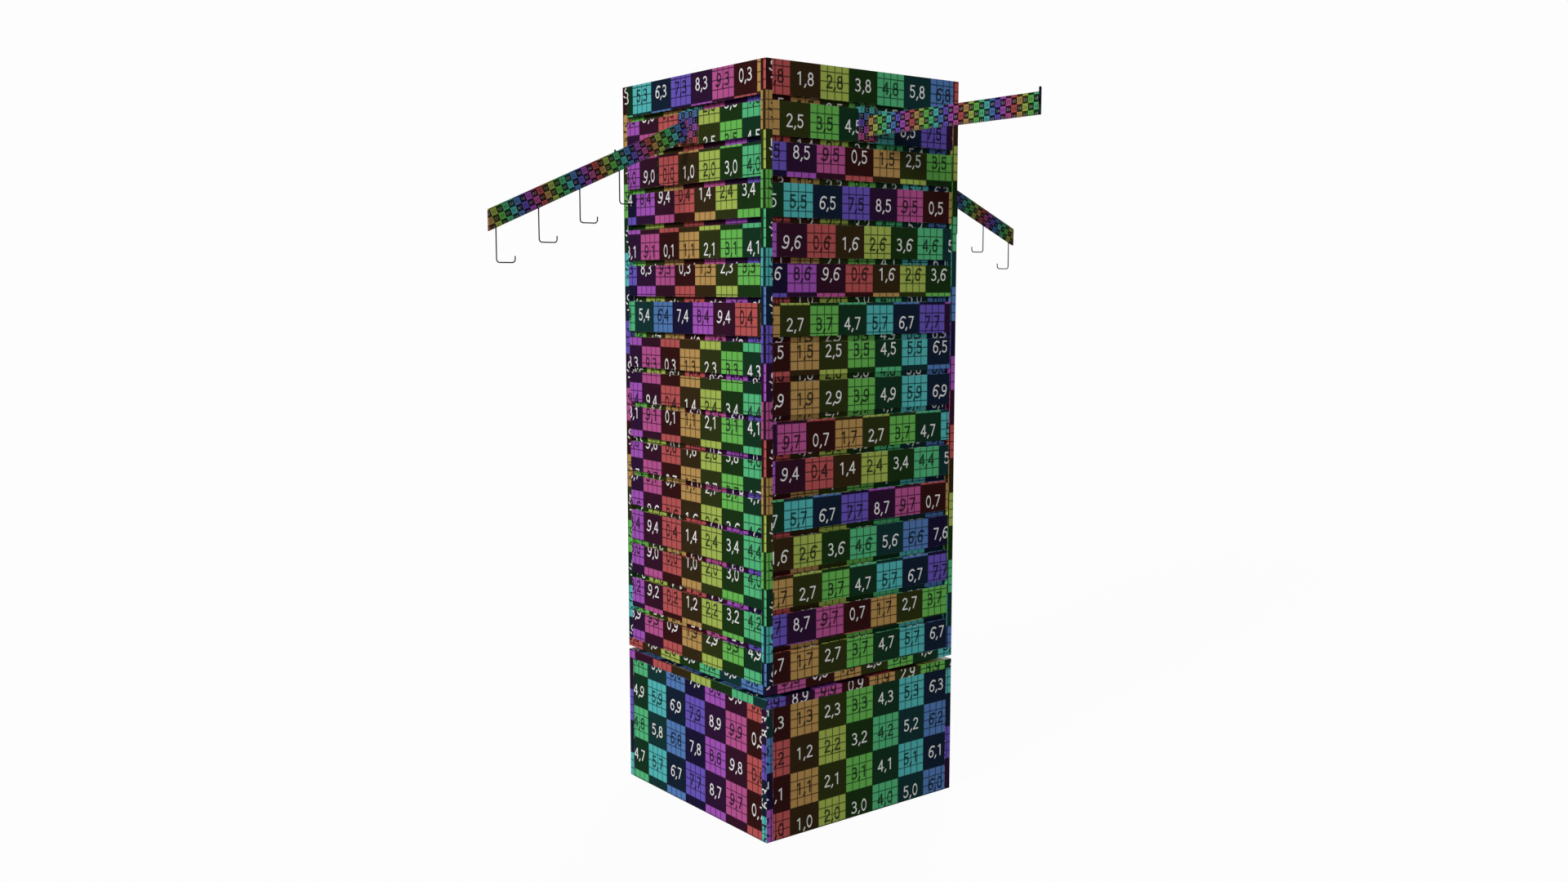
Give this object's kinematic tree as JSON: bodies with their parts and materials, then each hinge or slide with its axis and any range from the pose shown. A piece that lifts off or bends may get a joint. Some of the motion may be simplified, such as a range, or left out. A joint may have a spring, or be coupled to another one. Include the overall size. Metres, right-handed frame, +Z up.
{
  "type": "revolving slatwall display tower",
  "caption": "Square revolving display tower with slatted sides on a low plinth, carrying straight and sloped hook arms, covered in a numbered colour-grid print.",
  "frame": {"origin": "middle of the square footprint, on the floor under the glides", "axes": "+Z up along the swivel's axis; -Y out of the front face, which carries a sloped arm; +X out of the right face, which carries a straight arm"},
  "size_m": [1.4134, 1.404, 1.5286],
  "materials": {
    "printed_board": "fibreboard with a satin colour-grid laminate",
    "raw_board": "raw fibreboard",
    "printed_steel": "flat steel bar with a satin colour-grid coating",
    "hook_wire": "dark satin powder coat",
    "zinc_steel": "zinc plated",
    "glide_plastic": "black moulded plastic"
  },
  "bodies": {
    "plinth": {"plinth_floor_board": "raw_board", "plinth_top_board": "printed_board", "plinth_panel_front": "printed_board", "plinth_panel_right": "printed_board", "plinth_panel_back": "printed_board", "plinth_panel_left": "printed_board", "plinth_post_front_left": "printed_board", "plinth_post_front_right": "printed_board", "plinth_post_back_right": "printed_board", "plinth_post_back_left": "printed_board", "floor_glide_front_left": "glide_plastic", "floor_glide_front_right": "glide_plastic", "floor_glide_back_right": "glide_plastic", "floor_glide_back_left": "glide_plastic", "swivel_lower_plate": "zinc_steel", "swivel_lower_screw_1": "zinc_steel", "swivel_lower_screw_2": "zinc_steel", "swivel_lower_screw_3": "zinc_steel", "swivel_lower_screw_4": "zinc_steel"},
    "ball_ring": {"swivel_ball_ring": "zinc_steel"},
    "tower": {"swivel_upper_plate": "zinc_steel", "swivel_upper_screw_1": "zinc_steel", "swivel_upper_screw_2": "zinc_steel", "swivel_upper_screw_3": "zinc_steel", "swivel_upper_screw_4": "zinc_steel", "tower_bottom_board": "printed_board", "slat_panel_front": "printed_board", "slat_panel_right": "printed_board", "slat_panel_back": "printed_board", "slat_panel_left": "printed_board", "tower_post_front_left": "printed_board", "tower_post_front_right": "printed_board", "tower_post_back_right": "printed_board", "tower_post_back_left": "printed_board", "tower_cleat_front_left": "raw_board", "tower_cleat_front_right": "raw_board", "tower_cleat_back_right": "raw_board", "tower_cleat_back_left": "raw_board", "tower_top_board": "printed_board"},
    "waterfall_arm_front": {"waterfall_bracket_front": "printed_steel", "waterfall_bar_front": "printed_steel", "waterfall_hook_front_1": "hook_wire", "waterfall_hook_front_2": "hook_wire", "waterfall_hook_front_3": "hook_wire", "waterfall_hook_front_4": "hook_wire", "waterfall_hook_front_5": "hook_wire"},
    "waterfall_arm_back": {"waterfall_bracket_back": "printed_steel", "waterfall_bar_back": "printed_steel", "waterfall_hook_back_1": "hook_wire", "waterfall_hook_back_2": "hook_wire", "waterfall_hook_back_3": "hook_wire", "waterfall_hook_back_4": "hook_wire", "waterfall_hook_back_5": "hook_wire"},
    "straight_arm_right": {"straight_bracket_right": "printed_steel", "straight_bar_right": "printed_steel", "straight_end_tab_right": "hook_wire"},
    "straight_arm_left": {"straight_bracket_left": "printed_steel", "straight_bar_left": "printed_steel", "straight_end_tab_left": "hook_wire"}
  },
  "joints": [
    {"name": "tower_turn", "type": "hinge", "parent": "plinth", "child": "tower", "pos_m": [0, 0, 0.29907], "axis": [0, 0, 1], "continuous": true},
    {"name": "ball_ring_turn", "type": "hinge", "parent": "plinth", "child": "ball_ring", "pos_m": [0, 0, 0.29907], "axis": [0, 0, 1], "continuous": true},
    {"name": "waterfall_slide_front", "type": "slide", "parent": "tower", "child": "waterfall_arm_front", "axis": [1, 0, 0], "range_m": [-0.205, 0.205]},
    {"name": "waterfall_slide_back", "type": "slide", "parent": "tower", "child": "waterfall_arm_back", "axis": [-1, 0, 0], "range_m": [-0.205, 0.205]},
    {"name": "straight_slide_right", "type": "slide", "parent": "tower", "child": "straight_arm_right", "axis": [0, 1, 0], "range_m": [-0.212, 0.212]},
    {"name": "straight_slide_left", "type": "slide", "parent": "tower", "child": "straight_arm_left", "axis": [0, -1, 0], "range_m": [-0.212, 0.212]}
  ],
  "couplings": [
    {"joint": "ball_ring_turn", "follows": "tower_turn", "ratio": 0.5}
  ]
}
